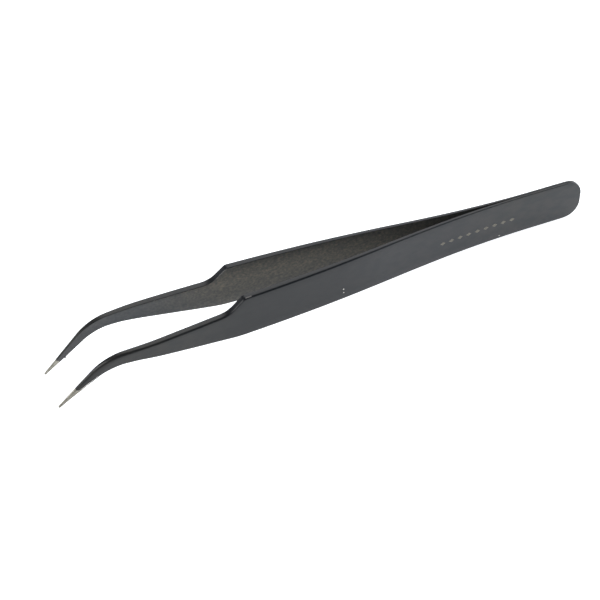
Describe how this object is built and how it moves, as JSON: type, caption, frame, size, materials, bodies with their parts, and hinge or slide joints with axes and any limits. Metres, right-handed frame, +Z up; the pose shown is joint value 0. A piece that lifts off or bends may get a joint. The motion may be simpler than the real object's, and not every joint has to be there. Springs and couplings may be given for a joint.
{
  "type": "curved fine point tweezers",
  "caption": "Slim steel tweezers: two sprung blades welded at a rounded tail, stepped shoulders, narrow necks and hooked fine points; squeezing the blades brings the points together.",
  "frame": {"origin": "bottom centre of the bounding box, with the tweezers standing on both points and on the lower edge of the tail", "axes": "+X towards the tail, +Y towards the far blade, +Z up, along the blades' width"},
  "size_m": [0.1186, 0.0132, 0.0126],
  "materials": {
    "blade_coating": "satin black baked coating over stainless steel",
    "bare_steel": "fine-ground bare stainless steel",
    "weld_steel": "dull fused steel"
  },
  "bodies": {
    "welded_tail": {"near_blade_tail": "blade_coating", "far_blade_tail": "blade_coating", "spot_weld_rear": "weld_steel", "spot_weld_front": "weld_steel"},
    "near_arm": {"near_blade_arm": "blade_coating", "near_point": "bare_steel"},
    "far_arm": {"far_blade_arm": "blade_coating", "far_point": "bare_steel"}
  },
  "joints": [
    {"name": "near_arm_flex", "type": "hinge", "parent": "welded_tail", "child": "near_arm", "pos_m": [0.0313, -0.00076, 0.00574], "axis": [-0.045, 0, -0.999], "range_deg": [0, 2.95], "stiffness_Nm_per_rad": 1.1},
    {"name": "far_arm_flex", "type": "hinge", "parent": "welded_tail", "child": "far_arm", "pos_m": [0.0313, 0.00076, 0.00574], "axis": [0.045, 0, 0.999], "range_deg": [0, 2.95], "stiffness_Nm_per_rad": 1.1}
  ],
  "couplings": [
    {"joint": "far_arm_flex", "follows": "near_arm_flex", "ratio": 1}
  ]
}
